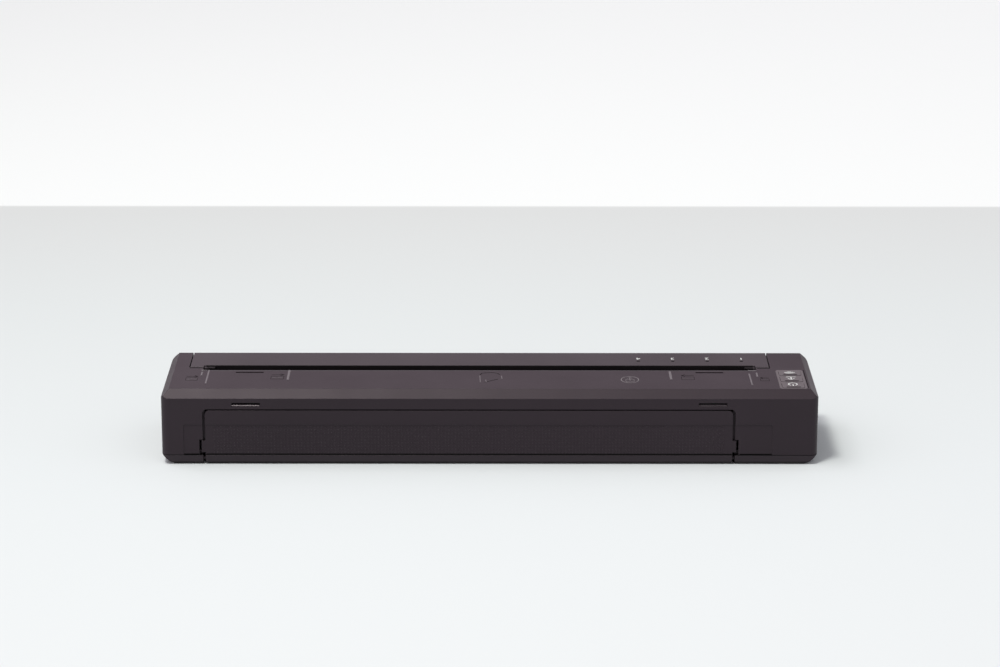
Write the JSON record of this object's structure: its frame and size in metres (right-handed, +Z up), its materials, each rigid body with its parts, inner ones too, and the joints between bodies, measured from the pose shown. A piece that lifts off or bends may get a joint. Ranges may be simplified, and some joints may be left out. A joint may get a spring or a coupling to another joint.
{
  "type": "portable thermal printer",
  "caption": "Slim bar-shaped page-width thermal printer with a hinged release cover that carries the platen, a hinged battery cover and three keys.",
  "frame": {"origin": "middle of the footprint, on the surface the feet stand on", "axes": "+X along the body towards the key panel, -Y the battery cover side, +Y the paper exit side, +Z up"},
  "size_m": [0.255, 0.055, 0.0304],
  "materials": {
    "case_black": "moulded, fine spark-eroded texture",
    "cover_black": "moulded, fine spark-eroded texture",
    "key_grey": "moulded, satin",
    "inner_black": "moulded, plain",
    "light_guide": "clear moulded rod",
    "gear_natural": "moulded acetal",
    "platen_rubber": "ground smooth",
    "foot_rubber": "moulded",
    "steel": "ground or zinc plated",
    "aluminium": "extruded",
    "ceramic": "glazed",
    "brass": "turned or plated",
    "copper_film": "flexible film",
    "board_green": "solder resist",
    "chip_black": "moulded epoxy",
    "connector_white": "moulded",
    "screw_black": "black zinc",
    "battery_black": "moulded"
  },
  "bodies": {
    "root": {"upper_case": "case_black", "lower_case": "case_black", "key_panel": "key_grey", "paper_chute": "inner_black", "exit_guide": "inner_black", "battery_tray": "inner_black", "left_side_plate": "steel", "right_side_plate": "steel", "head_springs": "steel", "head_cable": "copper_film", "motor_can": "steel", "motor_bracket": "steel", "gear_axles": "steel", "battery_pack": "battery_black", "battery_connector": "inner_black", "battery_contacts": "brass", "main_board": "board_green", "board_chips": "chip_black", "board_connectors": "connector_white", "key_board": "board_green", "key_switches": "steel", "port_board": "board_green", "power_inlet": "inner_black", "data_port": "steel", "case_screws": "screw_black", "board_screws": "steel", "plate_screws": "steel", "rubber_feet": "foot_rubber"},
    "release_cover": {"release_cover": "cover_black", "light_guides": "light_guide", "light_board": "board_green", "cover_hinge_pins": "steel", "platen_bushings": "gear_natural"},
    "platen": {"platen_sleeve": "platen_rubber", "platen_shaft": "steel", "platen_gear": "gear_natural"},
    "print_head": {"print_head": "ceramic", "heat_sink": "aluminium"},
    "motor_rotor": {"motor_pinion": "brass"},
    "reduction_gear": {"reduction_gear": "gear_natural"},
    "idler_gear": {"idler_gear": "gear_natural"},
    "relay_gear": {"relay_gear": "gear_natural"},
    "battery_cover": {"battery_cover": "case_black"},
    "power_key": {"power_key": "key_grey"},
    "feed_key": {"feed_key": "key_grey"},
    "radio_key": {"radio_key": "key_grey"}
  },
  "joints": [
    {"name": "cover_hinge", "type": "hinge", "parent": "root", "child": "release_cover", "pos_m": [0, 0.0235, 0.009], "axis": [-1, 0, 0], "range_deg": [0, 70]},
    {"name": "platen_spin", "type": "hinge", "parent": "release_cover", "child": "platen", "pos_m": [0, 0.012, 0.016], "axis": [1, 0, 0], "continuous": true},
    {"name": "relay_spin", "type": "hinge", "parent": "root", "child": "relay_gear", "pos_m": [0, 0.01066, 0.00756], "axis": [1, 0, 0], "continuous": true},
    {"name": "idler_spin", "type": "hinge", "parent": "root", "child": "idler_gear", "pos_m": [0, 0.00276, 0.00909], "axis": [1, 0, 0], "continuous": true},
    {"name": "reduction_spin", "type": "hinge", "parent": "root", "child": "reduction_gear", "pos_m": [0, -0.00364, 0.01309], "axis": [1, 0, 0], "continuous": true},
    {"name": "motor_spin", "type": "hinge", "parent": "root", "child": "motor_rotor", "pos_m": [0, -0.01364, 0.01204], "axis": [1, 0, 0], "continuous": true},
    {"name": "head_float", "type": "slide", "parent": "root", "child": "print_head", "axis": [0, 0, -1], "range_m": [0, 0.0006], "stiffness_N_per_m": 1500, "springref_m": -0.001, "deforming": ["head_springs"]},
    {"name": "battery_cover_hinge", "type": "hinge", "parent": "root", "child": "battery_cover", "pos_m": [0, -0.0254, 0.0023], "axis": [1, 0, 0], "range_deg": [0, 85]},
    {"name": "power_key_press", "type": "slide", "parent": "root", "child": "power_key", "axis": [0, 0, -1], "range_m": [0, 0.0003], "stiffness_N_per_m": 800, "springref_m": -0.0005},
    {"name": "feed_key_press", "type": "slide", "parent": "root", "child": "feed_key", "axis": [0, 0, -1], "range_m": [0, 0.0003], "stiffness_N_per_m": 800, "springref_m": -0.0005},
    {"name": "radio_key_press", "type": "slide", "parent": "root", "child": "radio_key", "axis": [0, 0, -1], "range_m": [0, 0.0003], "stiffness_N_per_m": 800, "springref_m": -0.0005}
  ],
  "couplings": [
    {"joint": "relay_spin", "follows": "platen_spin", "ratio": -1.4286},
    {"joint": "idler_spin", "follows": "platen_spin", "ratio": 1.1111},
    {"joint": "reduction_spin", "follows": "platen_spin", "ratio": -1.6667},
    {"joint": "motor_spin", "follows": "platen_spin", "ratio": 5}
  ]
}
